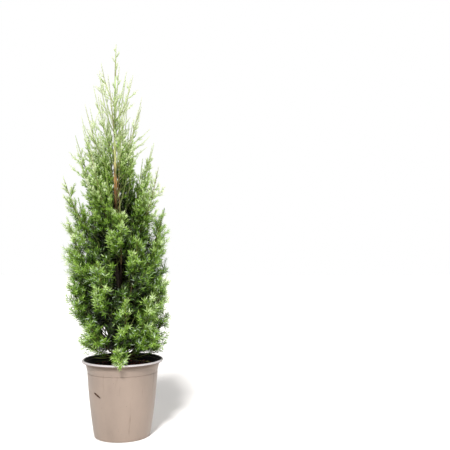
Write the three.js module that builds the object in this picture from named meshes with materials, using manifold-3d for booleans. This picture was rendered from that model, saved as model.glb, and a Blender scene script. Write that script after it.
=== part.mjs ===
// A young upright juniper in its round plastic nursery pot, in millimetres with +Z up.
// The origin is the centre of the pot's flat underside, and the front of the plant faces -Y.
// The trunk runs up through the crown, boughs leave its lower half, and each mass of foliage
// is one stem with side sprays, on a bough's tip or on the trunk.
import * as THREE from 'three';
import { mergeVertices } from 'three/addons/utils/BufferGeometryUtils.js';
import Module from 'manifold-3d';

const wasm = await Module();
wasm.setup();

// Gap between two pieces that touch
const CLEARANCE = 0.3;
const SEED = 5;

// Pot
const RIM_HEIGHT = 122;
const RIM_RADIUS = 65;
const LIP_THICKNESS = 4.2;
const COLLAR_TOP_RADIUS = 59.4;
const COLLAR_FOOT_RADIUS = 57;
const BAND_HEIGHT = 106;
const BAND_STEP = 0.5;
const BODY_TOP_RADIUS = 56.4;
const BODY_MIDDLE_RADIUS = 52.0;
const FOOT_RADIUS = 44.5;
const FOOT_CHAMFER = 1.5;
const WALL = 1.4;
const FLOOR = 2;
const POT_SEGMENTS = 32;
const DRAIN_HOLES = 6;
const DRAIN_RADIUS = 3.6;
const DRAIN_CIRCLE = 33;

// Soil, a little higher round the trunk
const SOIL_BELOW_RIM = 12;
const SOIL_MOUND = 1.5;
const SOIL_FLAT_RADIUS = 14;

// Trunk: heights of the plant are measured up from the pot's rim
const TRUNK_TIP_HEIGHT = 462;
const TRUNK_RADIUS = 5.2;
const TRUNK_TIP_RADIUS = 0.9;
const TRUNK_TAPER = 0.95;
const FLARE = 3.4;
const FLARE_HEIGHT = 6;
const FLARE_LOBES = 5;
const LOBE_DEPTH = 0.4;
const TRUNK_SIDES = 10;
const TRUNK_STEPS = 9;
const LEAN_LEFT = 16;
const LEAN_TURNS = 0.65;
const LEAN_BACK = 4;

// Outline of the crown: its radius round the leaning trunk
const LEADER_TIP_HEIGHT = 512;
const CROWN_FOOT_HEIGHT = -8;
const WIDEST_HEIGHT = 212;
const WIDEST_RADIUS = 90;
const FOOT_NARROWING = 0.33;
const FOOT_ROUNDNESS = 2.6;
const TOP_ROUNDNESS = 0.65;

// Shoots climb the trunk by the golden angle, and their tips lie on the crown's outline
const SHOOTS = 37;
const GOLDEN_ANGLE = Math.PI * (3 - Math.sqrt(5));
const FRONT = -Math.PI / 2;
const LOWEST_TIP = 16;
const HIGHEST_TIP = 482;
const TIP_CROWDING = 1.15;
const LOWEST_BASE = -3;
const HIGHEST_BASE = 415;
const BASE_CROWDING = 2.2;
const TIP_SCATTER = 14;
const ANGLE_SCATTER = 0.35;
const SHORTEST_REACH = 0.84;
const LONGEST_REACH = 0.98;
const ELBOW_OUT = 0.6;
const ELBOW_UP = 0.27;
const ELBOW_SIDE = 9;

// The lowest shoot leans out over the rim at the front, a little to the right
const SPRIG_TURN = 0.1;
const SPRIG_REACH = 71;
const SPRIG_TIP = -2;
const SPRIG_ELBOW_OUT = 0.8;
const SPRIG_ELBOW_HEIGHT = 22;
const SPRIG_SPREAD = 0.62;

// Boughs: the first stretch of the long shoots
const FIRST_BOUGH = 8;
const BOUGHS = 17;
const BOUGH_SHARE = 0.42;
const BOUGH_ROOT_RADIUS = 2.5;
const BOUGH_TIP_RADIUS = 1.5;
const BOUGH_SIDES = 5;
const BOUGH_STEPS = 4;

// Stems and sprays of a mass: needles stand out of a slim three-sided core, one on each
// corner in turn
const STEM_ROOT_RADIUS = 1.3;
const STEM_TIP_RADIUS = 0.45;
const STEM_BARE = [0.2, 0.4];
const STEM_PITCH = 10;
const SPRAYS = 5;
const SPRAY_ROOT_RADIUS = 0.8;
const SPRAY_BARE = [0.16];
const SPRAY_PITCH = 5.95;
const FIRST_SPRAY = 0.1;
const LAST_SPRAY = 0.74;
const LONGEST_SPRAY = 52;
const SHORTEST_SPRAY = 11;
const SPRAY_SHARE = 0.44;
const LEADER_SPRAY_SHARE = 0.24;
const SPRAY_ANGLE = 0.66;
const SPRAY_LIFT = 0.18;
const SPRAY_TRIES = 9;
const SHORTER_TRIES = [1, 0.75, 0.55];
const OUTER_PARTS = [0.5, 0.75, 1];
const SPRAY_ROOM = 4;
const LOW_NEEDLE = 12;
const HIGH_NEEDLE = 8;
const LOW_NEEDLE_ANGLE = 0.9;
const HIGH_NEEDLE_ANGLE = 0.5;
const TIP_NEEDLE_SHARE = 0.4;
const NEEDLE_TWIST = 0.35;
const NEEDLE_ROOM = 0.4;
const SHORTER_NEEDLES = [1, 0.7, 0.45];
const STEM_SAMPLES = 12;
const OUTLINE_MARGIN = 6;

const COLOURS = {
  pot: 0xb9a292,
  soil: 0x2b211b,
  bark: 0x7d5236,
  lowNeedles: 0x4c7a2f,
  highNeedles: 0x9dba78,
};

const UP = new THREE.Vector3(0, 0, 1);
const lerp = THREE.MathUtils.lerp;
const SOIL_TOP = RIM_HEIGHT - SOIL_BELOW_RIM + SOIL_MOUND;
const TRUNK_FOOT = SOIL_TOP + CLEARANCE;
const TRUNK_TIP = RIM_HEIGHT + TRUNK_TIP_HEIGHT;
const LEADER_TIP = RIM_HEIGHT + LEADER_TIP_HEIGHT;

// A number from 0 to 1 that depends only on the seed, the shoot and the draw
function chance(shoot, draw) {
  let mixed = Math.imul(shoot + SEED, 374761393) + Math.imul(draw, 668265263);
  mixed = Math.imul(mixed ^ (mixed >>> 13), 1274126177);
  return ((mixed ^ (mixed >>> 16)) >>> 0) / 4294967296;
}

function toSolid(geometry) {
  geometry.deleteAttribute('normal');
  geometry.deleteAttribute('uv');
  const merged = mergeVertices(geometry);
  return new wasm.Manifold(new wasm.Mesh({
    numProp: 3,
    vertProperties: new Float32Array(merged.attributes.position.array),
    triVerts: new Uint32Array(merged.index.array),
  }));
}

function toGeometry(solid) {
  const mesh = solid.getMesh();
  const geometry = new THREE.BufferGeometry();
  geometry.setAttribute('position', new THREE.BufferAttribute(mesh.vertProperties, 3));
  geometry.setIndex(new THREE.BufferAttribute(mesh.triVerts, 1));
  geometry.computeVertexNormals();
  return geometry;
}

// The largest closed skin of a solid, with no hollow sealed inside it and no loose scrap
function outerSkin(solid) {
  return solid.decompose().sort((a, b) => b.volume() - a.volume())[0];
}

// Closes a row of rings, each with the same number of points, into one skin with flat ends
function loft(rings) {
  const sides = rings[0].length;
  const last = (rings.length - 1) * sides;
  const corners = [];
  for (let ring = 0; ring < rings.length - 1; ring += 1) {
    for (let side = 0; side < sides; side += 1) {
      const next = (side + 1) % sides;
      const [a, b] = [ring * sides + side, ring * sides + next];
      corners.push(a, b, b + sides, a, b + sides, a + sides);
    }
  }
  for (let side = 1; side < sides - 1; side += 1) {
    corners.push(0, side + 1, side, last, last + side, last + side + 1);
  }
  const geometry = new THREE.BufferGeometry();
  const places = rings.flat().flatMap((point) => point.toArray());
  geometry.setAttribute('position', new THREE.Float32BufferAttribute(places, 3));
  geometry.setIndex(corners);
  geometry.computeVertexNormals();
  return geometry;
}

// Two directions square to an axis, the first as near as can be to the one asked for
function crossAxes(axis, wanted) {
  const across = wanted.clone().addScaledVector(axis, -wanted.dot(axis)).normalize();
  return [across, axis.clone().cross(across)];
}

function ringPoint(centre, axes, angle, radius) {
  return centre.clone()
    .addScaledVector(axes[0], radius * Math.cos(angle))
    .addScaledVector(axes[1], radius * Math.sin(angle));
}

function ring(centre, axes, radius, sides, turn = 0) {
  return Array.from({ length: sides }, (_, side) => (
    ringPoint(centre, axes, turn + side * 2 * Math.PI / sides, radius)
  ));
}

function trunkAxis(z) {
  const share = (z - TRUNK_FOOT) / (LEADER_TIP - TRUNK_FOOT);
  const sway = Math.sin(Math.PI * LEAN_TURNS * share);
  return new THREE.Vector3(-LEAN_LEFT * sway, LEAN_BACK * Math.sin(Math.PI * share), z);
}

function trunkRadius(z) {
  const share = THREE.MathUtils.clamp((z - TRUNK_FOOT) / (TRUNK_TIP - TRUNK_FOOT), 0, 1);
  return TRUNK_TIP_RADIUS + (TRUNK_RADIUS - TRUNK_TIP_RADIUS) * (1 - share) ** TRUNK_TAPER;
}

function flareAt(z, angle) {
  const lobes = 1 + LOBE_DEPTH * Math.cos(FLARE_LOBES * angle);
  return FLARE * lobes * Math.exp(-(z - TRUNK_FOOT) / FLARE_HEIGHT);
}

// The crown's radius round the trunk at a height above the rim
function crownRadius(height) {
  if (height > WIDEST_HEIGHT) {
    const share = Math.min((height - WIDEST_HEIGHT) / (LEADER_TIP_HEIGHT - WIDEST_HEIGHT), 1);
    return WIDEST_RADIUS * Math.cos(Math.PI / 2 * share) ** TOP_ROUNDNESS;
  }
  const share = (WIDEST_HEIGHT - height) / (WIDEST_HEIGHT - CROWN_FOOT_HEIGHT);
  return WIDEST_RADIUS * (1 - FOOT_NARROWING * Math.max(share, 0) ** FOOT_ROUNDNESS);
}

// How far up the crown a point is, from 0 at the rim to 1 at the leader's tip
function crownShare(z) {
  return THREE.MathUtils.clamp((z - RIM_HEIGHT) / LEADER_TIP_HEIGHT, 0, 1);
}

function potWall(z) {
  const share = z / BAND_HEIGHT;
  const bulge = BODY_MIDDLE_RADIUS - (FOOT_RADIUS + BODY_TOP_RADIUS) / 2;
  return lerp(FOOT_RADIUS, BODY_TOP_RADIUS, share) + 4 * bulge * share * (1 - share);
}

// A body of revolution about the upright axis
function turned(outline) {
  const points = outline.map(([radius, z]) => new THREE.Vector2(radius, z));
  return new THREE.LatheGeometry(points, POT_SEGMENTS).rotateX(Math.PI / 2);
}

function makePot() {
  const roll = LIP_THICKNESS / 2;
  const [lipCentre, lipHeight] = [RIM_RADIUS - roll, RIM_HEIGHT - roll];
  const collarTop = lipHeight - roll;
  const outline = [[0, 0], [FOOT_RADIUS - FOOT_CHAMFER, 0], [FOOT_RADIUS, FOOT_CHAMFER]];
  for (const share of [0.33, 0.67, 1]) {
    outline.push([potWall(BAND_HEIGHT * share), BAND_HEIGHT * share]);
  }
  outline.push([COLLAR_FOOT_RADIUS, BAND_HEIGHT + BAND_STEP], [COLLAR_TOP_RADIUS, collarTop]);
  for (const angle of [-60, 0, 60, 120]) {
    const turn = THREE.MathUtils.degToRad(angle);
    outline.push([lipCentre + roll * Math.cos(turn), lipHeight + roll * Math.sin(turn)]);
  }
  outline.push([COLLAR_TOP_RADIUS - WALL, collarTop - WALL]);
  for (const share of [1, 0.5]) {
    outline.push([potWall(BAND_HEIGHT * share) - WALL, BAND_HEIGHT * share]);
  }
  outline.push([potWall(FLOOR) - WALL, FLOOR], [0, FLOOR]);
  let pot = toSolid(turned(outline));
  for (let hole = 0; hole < DRAIN_HOLES; hole += 1) {
    const turn = hole * 2 * Math.PI / DRAIN_HOLES;
    const drill = new THREE.CylinderGeometry(DRAIN_RADIUS, DRAIN_RADIUS, 3 * FLOOR, 8);
    drill.rotateX(Math.PI / 2);
    drill.translate(DRAIN_CIRCLE * Math.cos(turn), DRAIN_CIRCLE * Math.sin(turn), FLOOR / 2);
    pot = pot.subtract(toSolid(drill));
  }
  return toGeometry(pot);
}

function makeSoil() {
  const inner = (z) => potWall(z) - WALL - CLEARANCE;
  const foot = FLOOR + CLEARANCE;
  const edge = RIM_HEIGHT - SOIL_BELOW_RIM;
  const sag = inner(BAND_HEIGHT / 2) - CLEARANCE;
  const outline = [
    [0, foot], [inner(foot) - CLEARANCE, foot], [sag, BAND_HEIGHT / 2],
    [inner(BAND_HEIGHT) - CLEARANCE, BAND_HEIGHT], [inner(BAND_HEIGHT), edge],
    [SOIL_FLAT_RADIUS, SOIL_TOP], [0, SOIL_TOP],
  ];
  return toGeometry(toSolid(turned(outline)));
}

function makeTrunk() {
  const heights = [0, 0.35, 1, 2].map((share) => TRUNK_FOOT + share * FLARE_HEIGHT);
  const start = heights.at(-1);
  for (let step = 1; step <= TRUNK_STEPS; step += 1) {
    heights.push(lerp(start, TRUNK_TIP, step / TRUNK_STEPS));
  }
  const level = [new THREE.Vector3(1, 0, 0), new THREE.Vector3(0, 1, 0)];
  return loft(heights.map((z) => Array.from({ length: TRUNK_SIDES }, (_, side) => {
    const angle = side * 2 * Math.PI / TRUNK_SIDES;
    return ringPoint(trunkAxis(z), level, angle, trunkRadius(z) + flareAt(z, angle));
  })));
}

// The curve of one shoot, from the trunk's axis out to its tip on the crown's outline
function shootCurve(index) {
  const share = index / (SHOOTS - 1);
  const scatter = TIP_SCATTER * (chance(index, 1) - 0.5);
  const sprig = index === 0;
  const tip = sprig
    ? SPRIG_TIP
    : lerp(LOWEST_TIP, HIGHEST_TIP, share ** TIP_CROWDING) + scatter * (1 - share);
  const base = lerp(LOWEST_BASE, HIGHEST_BASE, share ** (TIP_CROWDING * BASE_CROWDING));
  const turn = FRONT + index * GOLDEN_ANGLE
    + (sprig ? SPRIG_TURN : ANGLE_SCATTER * (chance(index, 2) - 0.5));
  const reach = sprig
    ? SPRIG_REACH
    : crownRadius(tip) * lerp(SHORTEST_REACH, LONGEST_REACH, chance(index, 3));
  const out = new THREE.Vector3(Math.cos(turn), Math.sin(turn), 0);
  const side = UP.clone().cross(out);
  const root = trunkAxis(RIM_HEIGHT + base);
  const end = trunkAxis(RIM_HEIGHT + tip).addScaledVector(out, reach);
  const elbow = root.clone()
    .addScaledVector(out, (sprig ? SPRIG_ELBOW_OUT : ELBOW_OUT) * reach)
    .addScaledVector(side, sprig ? 0 : ELBOW_SIDE * (chance(index, 4) - 0.5))
    .addScaledVector(UP, sprig ? SPRIG_ELBOW_HEIGHT - base : ELBOW_UP * (tip - base));
  return { curve: new THREE.QuadraticBezierCurve3(root, elbow, end), out, side };
}

// The share of a shoot's curve at which it comes clear of the trunk
function leavesTrunk(curve, radius) {
  let share = 0;
  const spread = (point) => {
    const centre = trunkAxis(point.z);
    return Math.hypot(point.x - centre.x, point.y - centre.y);
  };
  while (spread(curve.getPoint(share)) < radius + CLEARANCE) share += 0.001;
  return share;
}

function makeShoot(index) {
  const { curve, out, side } = shootCurve(index);
  const bough = index >= FIRST_BOUGH && index < FIRST_BOUGH + BOUGHS;
  const base = curve.getPoint(0);
  const flare = flareAt(base.z - STEM_ROOT_RADIUS, Math.atan2(out.y, out.x));
  const foot = leavesTrunk(curve, trunkRadius(base.z) + flare);
  const split = bough ? BOUGH_SHARE : foot;
  const gap = CLEARANCE / curve.getTangent(split).length() / curve.getLength();
  return {
    index, curve, out, side, bough, foot,
    split,
    start: bough ? split + gap : foot,
    length: curve.getLength() * (1 - split),
  };
}

// The leader goes on from the trunk's tip
function makeLeader() {
  const root = trunkAxis(TRUNK_TIP + CLEARANCE);
  const end = trunkAxis(LEADER_TIP);
  const curve = new THREE.QuadraticBezierCurve3(root, root.clone().lerp(end, 0.5), end);
  const out = new THREE.Vector3(0, -1, 0);
  return {
    index: SHOOTS, curve, out, side: UP.clone().cross(out), bough: false, leader: true,
    foot: 0, split: 0, start: 0, length: curve.getLength(),
  };
}

// Rings of a limb along its curve. One that starts on the trunk is cut flat against it.
function limbRings(shoot, from, to, steps, radiusAt, sides) {
  return Array.from({ length: steps + 1 }, (_, step) => {
    const share = lerp(from, to, step / steps);
    const onTrunk = step === 0 && from === shoot.foot && !shoot.leader;
    const axis = onTrunk ? shoot.out : shoot.curve.getTangent(share);
    const axes = crossAxes(axis, shoot.side);
    return ring(shoot.curve.getPoint(share), axes, radiusAt(step / steps), sides);
  });
}

function makeBough(shoot) {
  const radiusAt = (share) => lerp(BOUGH_ROOT_RADIUS, BOUGH_TIP_RADIUS, share);
  return loft(limbRings(shoot, shoot.foot, shoot.split, BOUGH_STEPS, radiusAt, BOUGH_SIDES));
}

function needleLength(z) {
  return lerp(LOW_NEEDLE, HIGH_NEEDLE, crownShare(z));
}

function needleAngle(z) {
  return lerp(LOW_NEEDLE_ANGLE, HIGH_NEEDLE_ANGLE, crownShare(z));
}

// The shares of a spray's length where its rings lie: the bare rings, then one ring a needle
function ringShares(bare, length, pitch) {
  const foot = bare.at(-1);
  const needles = Math.max(Math.round(length * (1 - foot) / pitch), 3);
  const shares = Array.from({ length: needles }, (_, number) => (
    lerp(foot, 1, (number + 1) / needles)
  ));
  return [0, ...bare, ...shares];
}

// A slim core with a needle on one corner of each ring but the bare ones and the tip.
// free(line) says whether a needle along that line stays in its mass's space.
function needleRings(curve, wanted, radiusAt, shares, bareRings, turn, free) {
  return shares.map((share, step) => {
    const point = curve.getPoint(share);
    const axis = curve.getTangent(share);
    const axes = crossAxes(axis, wanted);
    const corners = ring(point, axes, radiusAt(share), 3, turn + step * NEEDLE_TWIST);
    if (step < bareRings || step === shares.length - 1) return corners;
    const corner = step % 3;
    const angle = needleAngle(point.z);
    const out = corners[corner].clone().sub(point).normalize();
    const ahead = out.multiplyScalar(Math.sin(angle)).addScaledVector(axis, Math.cos(angle));
    const length = needleLength(point.z) * lerp(1, TIP_NEEDLE_SHARE, share ** 2);
    for (const shorter of SHORTER_NEEDLES) {
      const tip = point.clone().addScaledVector(ahead, length * shorter);
      if (free(corners[corner], tip)) {
        corners[corner] = tip;
        break;
      }
    }
    return corners;
  });
}

const shoots = Array.from({ length: SHOOTS }, (_, index) => makeShoot(index));
shoots.push(makeLeader());
for (const shoot of shoots) {
  shoot.line = Array.from({ length: STEM_SAMPLES + 1 }, (_, step) => (
    shoot.curve.getPoint(lerp(shoot.start, 1, step / STEM_SAMPLES))
  ));
  shoot.limb = shoot.bough
    ? Array.from({ length: STEM_SAMPLES + 1 }, (_, step) => (
      shoot.curve.getPoint(lerp(shoot.foot, shoot.split, step / STEM_SAMPLES))
    ))
    : [];
}

const nearest = new THREE.Vector3();
const segment = new THREE.Line3();

function lineDistance(point, line) {
  let least = Infinity;
  for (let step = 0; step < line.length - 1; step += 1) {
    segment.set(line[step], line[step + 1]);
    segment.closestPointToPoint(point, true, nearest);
    least = Math.min(least, nearest.distanceTo(point));
  }
  return least;
}

// Distance to the lip's ring, less its half thickness
function lipDistance(point) {
  const across = Math.hypot(point.x, point.y) - (RIM_RADIUS + COLLAR_TOP_RADIUS) / 2;
  const up = point.z - (RIM_HEIGHT - LIP_THICKNESS / 2);
  return Math.hypot(across, up) - (RIM_RADIUS - COLLAR_TOP_RADIUS) / 2 - WALL;
}

// The room round a point before it meets the trunk, a bough, the pot, the soil or the
// halfway surface to the stem of another mass
function roomAround(point, own) {
  const centre = trunkAxis(point.z);
  const fromTrunk = Math.hypot(point.x - centre.x, point.y - centre.y)
    - trunkRadius(point.z) - flareAt(point.z, 0);
  let room = point.z < TRUNK_TIP + CLEARANCE ? fromTrunk : Infinity;
  room = Math.min(room, lipDistance(point), point.z - SOIL_TOP);
  const ownDistance = lineDistance(point, own.line);
  for (const other of shoots) {
    if (other.bough) room = Math.min(room, lineDistance(point, other.limb) - BOUGH_ROOT_RADIUS);
    if (other !== own) {
      room = Math.min(room, (lineDistance(point, other.line) - ownDistance) / 2);
    }
  }
  return room - CLEARANCE;
}

function insideOutline(point) {
  const centre = trunkAxis(point.z);
  const across = Math.hypot(point.x - centre.x, point.y - centre.y);
  return across < crownRadius(point.z - RIM_HEIGHT) + OUTLINE_MARGIN && point.z < LEADER_TIP;
}

// Whether a needle keeps to its mass's space and clear of the mass's other sprays
function needleIsFree(shoot, line, lines) {
  return (root, tip) => [0.4, 0.7, 1].every((part) => {
    const point = root.clone().lerp(tip, part);
    return roomAround(point, shoot) > NEEDLE_ROOM && point.z < LEADER_TIP
      && lines.every((other) => other === line
        || lineDistance(point, other) > STEM_ROOT_RADIUS + NEEDLE_ROOM);
  });
}

// The line of one side spray, or null where no direction leaves it in its mass's own space
function sprayLine(shoot, number, lines) {
  const along = lerp(FIRST_SPRAY, LAST_SPRAY, number / (SPRAYS - 1));
  const share = lerp(shoot.start, 1, along);
  const root = shoot.curve.getPoint(share);
  const tangent = shoot.curve.getTangent(share);
  const axes = crossAxes(tangent, shoot.side);
  const wanted = (shoot.index === 0 ? SPRIG_SPREAD : 1) * THREE.MathUtils.clamp(
    shoot.length * (shoot.leader ? LEADER_SPRAY_SHARE : SPRAY_SHARE) * (1.25 - along),
    SHORTEST_SPRAY,
    LONGEST_SPRAY,
  );
  for (const shorter of SHORTER_TRIES) {
    for (let tried = 0; tried < SPRAY_TRIES; tried += 1) {
      const turn = (number + tried) * GOLDEN_ANGLE + 2 * Math.PI * chance(shoot.index, 10);
      const sideways = ringPoint(new THREE.Vector3(), axes, turn, Math.sin(SPRAY_ANGLE));
      const ahead = tangent.clone().multiplyScalar(Math.cos(SPRAY_ANGLE)).add(sideways);
      ahead.addScaledVector(UP, SPRAY_LIFT).normalize();
      const end = root.clone().addScaledVector(ahead, wanted * shorter);
      const line = [root, end];
      const fits = OUTER_PARTS.every((part) => {
        const point = root.clone().lerp(end, part);
        return insideOutline(point) && roomAround(point, shoot) > SPRAY_ROOM
          && lines.slice(1).every((other) => lineDistance(point, other) > 2 * SPRAY_ROOM);
      });
      if (fits) return line;
    }
  }
  return null;
}

function makeMass(shoot) {
  const stemRadius = (share) => lerp(STEM_ROOT_RADIUS, STEM_TIP_RADIUS, share);
  const sprayRadius = (share) => lerp(SPRAY_ROOT_RADIUS, STEM_TIP_RADIUS, share);
  const lines = [shoot.line];
  for (let number = 0; number < SPRAYS; number += 1) {
    const line = sprayLine(shoot, number, lines);
    if (line) lines.push(line);
  }
  const shares = ringShares(STEM_BARE, shoot.length, STEM_PITCH);
  const along = shares.map((share) => lerp(shoot.start, 1, share));
  const bare = STEM_BARE.length + 1;
  const free = needleIsFree(shoot, shoot.line, lines);
  const rings = needleRings(shoot.curve, shoot.side, stemRadius, along, bare, 0, free);
  [rings[0]] = limbRings(shoot, shoot.start, 1, 1, stemRadius, 3);
  let solid = toSolid(loft(rings));
  lines.slice(1).forEach((line, number) => {
    const curve = new THREE.LineCurve3(...line);
    const spots = ringShares(SPRAY_BARE, curve.getLength(), SPRAY_PITCH);
    const fits = needleIsFree(shoot, line, lines);
    const skin = needleRings(curve, shoot.side, sprayRadius, spots, 2, number, fits);
    solid = solid.add(toSolid(loft(skin)));
  });
  return toGeometry(outerSkin(solid));
}

function material(colour, roughness) {
  return new THREE.MeshStandardMaterial({ color: colour, roughness, metalness: 0 });
}

function named(name, geometry, look) {
  const mesh = new THREE.Mesh(geometry, look);
  mesh.name = name;
  return mesh;
}

const plant = new THREE.Group();
const bark = material(COLOURS.bark, 0.8);
plant.add(named('pot', makePot(), material(COLOURS.pot, 0.45)));
plant.add(named('soil', makeSoil(), material(COLOURS.soil, 0.95)));
plant.add(named('trunk', makeTrunk(), bark));
for (const shoot of shoots) {
  const number = String(shoot.index + 1).padStart(2, '0');
  if (shoot.bough) plant.add(named(`bough_${number}`, makeBough(shoot), bark));
  const tip = shoot.curve.getPoint(1);
  const green = new THREE.Color(COLOURS.lowNeedles);
  green.lerp(new THREE.Color(COLOURS.highNeedles), crownShare(tip.z));
  const name = shoot.leader ? 'mass_leader' : `mass_${number}`;
  plant.add(named(name, makeMass(shoot), material(green, 0.7)));
}

export default plant;
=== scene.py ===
"""A young upright juniper in a round plastic nursery pot.

Lengths are in millimetres until a mesh is made, and heights on the plant are measured up from
the pot's rim, as on the solids that the pieces stand for.
"""

import math

import bpy
import numpy as np
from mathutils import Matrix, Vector, noise


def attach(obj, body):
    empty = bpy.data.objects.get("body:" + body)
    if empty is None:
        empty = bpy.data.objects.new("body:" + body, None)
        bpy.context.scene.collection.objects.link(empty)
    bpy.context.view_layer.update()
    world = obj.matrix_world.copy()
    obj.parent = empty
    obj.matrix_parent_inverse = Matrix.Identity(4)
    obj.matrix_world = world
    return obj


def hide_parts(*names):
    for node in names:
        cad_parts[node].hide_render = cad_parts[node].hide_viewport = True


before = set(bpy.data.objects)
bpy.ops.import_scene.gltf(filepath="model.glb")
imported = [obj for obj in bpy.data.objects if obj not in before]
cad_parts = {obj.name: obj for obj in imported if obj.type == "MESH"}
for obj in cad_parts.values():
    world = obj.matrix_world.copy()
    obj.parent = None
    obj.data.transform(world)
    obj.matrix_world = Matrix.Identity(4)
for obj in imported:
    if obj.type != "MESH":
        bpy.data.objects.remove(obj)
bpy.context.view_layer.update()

MM = 0.001
TURN = 2 * math.pi
RIGHT, BACK, UP = np.eye(3)
SQUARE = np.array([[-1, -1], [1, -1], [1, 1], [-1, 1]])

# Clearance and seed of the solids
CLEARANCE = 0.3
SEED = 5

# Pot
RIM_HEIGHT = 122
RIM_RADIUS = 65
LIP_THICKNESS = 4.2
COLLAR_TOP_RADIUS = 59.4
COLLAR_FOOT_RADIUS = 57
BAND_HEIGHT = 106
BODY_TOP_RADIUS = 56.4
BODY_MIDDLE_RADIUS = 52.0
FOOT_RADIUS = 44.5
FOOT_CHAMFER = 1.5
WALL = 1.4
FLOOR = 2
DRAIN_HOLES = 6
DRAIN_RADIUS = 3.6
DRAIN_CIRCLE = 33
POT_SEGMENTS = 144
RING_HEIGHT = 102
FAINT_LINES = [(111, 0.2), (115.5, 0.3)]
UNDERCUT = 0.7
LIP_SHADE_RADIUS = 61.6
# Above this height the outer lip is paler: a painted highlight
LIP_HIGHLIGHT_FOOT = RIM_HEIGHT - 0.6 * LIP_THICKNESS
# From this height up to the lip the pot darkens: dust and painted shade
DUST_AND_SHADE_FOOT = RIM_HEIGHT - 11
SHARP_ANGLE = 35
# Corners of the ring's groove: depth, and height from its middle
RING_CORNERS = [(0, -0.7), (0.6, -0.35), (0.6, 0.25), (0, 0.6)]
# The fleck of bark: its direction and height, its slant, half its thickness, and its corners
FLECK_PLACE = (-2.22, 72.5)
FLECK_SLANT = -0.454719
FLECK_HALF = 0.35
FLECK_OFF = 0.25
FLECK_CORNERS = [(-7.6, -0.4), (-3.6, -1.3), (2.8, -1.1), (8.2, 0.1), (2.4, 1.1), (-4.2, 1.2)]

# Soil
SOIL_MOUND = 1.5
SOIL_FLAT_RADIUS = 14
SOIL_EDGE = RIM_HEIGHT - 12
SOIL_TOP = SOIL_EDGE + SOIL_MOUND
SOIL_SEGMENTS = 120
SOIL_RINGS = 46
# Lumps and crumbs of the soil: height and breadth
LUMPS = (1.3, 9)
CRUMBS = (0.5, 1.7)
SOIL_SUNK = 0.4
# Bits of bark on the soil
CHIP_SEED = 12
CHIP_COUNTS = (130, 170, 60)
CHIP_LENGTH = (2.5, 9)
CHIP_WIDTH = (1.2, 4)
CHIP_THICKNESS = (0.5, 1.4)
CHIP_SHAPE = (0.65, 1.1)
CHIP_TILT = 0.25
CHIP_RISE = 1.2

# Trunk
TRUNK_RADII = (0.9, 5.2)
TRUNK_TAPER = 0.95
FLARE = 3.4
FLARE_HEIGHT = 6
FLARE_LOBES = 5
LOBE_DEPTH = 0.4
LEAN_LEFT = 16
LEAN_TURNS = 0.65
LEAN_BACK = 4
LEADER_TIP_HEIGHT = 512
TRUNK_FOOT = SOIL_TOP + CLEARANCE
TRUNK_TIP = RIM_HEIGHT + 462
LEADER_TIP = RIM_HEIGHT + LEADER_TIP_HEIGHT

# Rings and sides of the limbs' meshes, and the depth of the bark's relief
FLARE_TOP = 16
FLARE_RINGS = 30
TRUNK_RINGS = 320
TRUNK_SIDES = 44
TRUNK_RELIEF = 0.42
BOUGH_RINGS = 40
BOUGH_SIDES = 16
BOUGH_RELIEF = 0.22
BOUGH_SLIMNESS = 0.86
BOUGH_COLLAR = 0.9

# Outline of the crown
CROWN_FOOT_HEIGHT = -8
WIDEST_HEIGHT = 212
WIDEST_RADIUS = 90
FOOT_NARROWING = 0.33
FOOT_ROUNDNESS = 2.6
TOP_ROUNDNESS = 0.65
OUTLINE_MARGIN = 6
TWIG_MARGIN = 2.5

# Shoots
SHOOTS = 37
GOLDEN_ANGLE = math.pi * (3 - math.sqrt(5))
FRONT = -math.pi / 2
TIP_HEIGHTS = (16, 482)
TIP_CROWDING = 1.15
BASE_HEIGHTS = (-3, 415)
BASE_CROWDING = 2.53
TIP_SCATTER = 14
ANGLE_SCATTER = 0.35
REACHES = (0.84, 0.98)
ELBOW_OUT = 0.6
ELBOW_UP = 0.27
ELBOW_SIDE = 9
SPRIG_TURN = 0.1
SPRIG_REACH = 71
SPRIG_TIP = -2
SPRIG_ELBOW_OUT = 0.8
SPRIG_ELBOW_HEIGHT = 22
BOUGH_NUMBERS = range(8, 25)
BOUGH_SHARE = 0.42
BOUGH_RADII = (2.5, 1.5)
STEM_RADII = (1.3, 0.45)
STEM_SAMPLES = 12
LENGTH_STEPS = 24

# Main sprays of a shoot, the ones that the solids have
SPRAYS = 5
SPRAY_RADII = (0.6, 0.3)
SPRAY_SPAN = (0.1, 0.74)
SPRAY_LENGTHS = (11, 52)
SPRAY_SHARE = 0.44
LEADER_SPRAY_SHARE = 0.24
SPRAY_ANGLE = 0.66
SPRAY_LIFT = 0.18
SPRAY_TRIES = 9
SHORTER_TRIES = [1, 0.75, 0.55]
OUTER_PARTS = [0.5, 0.75, 1]
SPRAY_ROOM = 4
SPRAY_SAG = 0.12

# Finer shoots between the others, which fill the crown from the trunk out
FINE_SHOOTS = 122
FINE_PLACES = (0.5, 35.4)
FINE_CROWDING = 0.95
FINE_TURN = 1.3
FINE_REACHES = (0.42, 0.97)
FINE_RADII = (1.0, 0.45)
FINE_ROOT_SHARE = 0.6
SPIRE_FOOT_HEIGHT = 352

# How side growth bends back to its parent, and how it is shortened at the crown's outline
BEND_BACK = 0.55
SHORTENING = 0.82
OUTLINE_TRIES = 7

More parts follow.
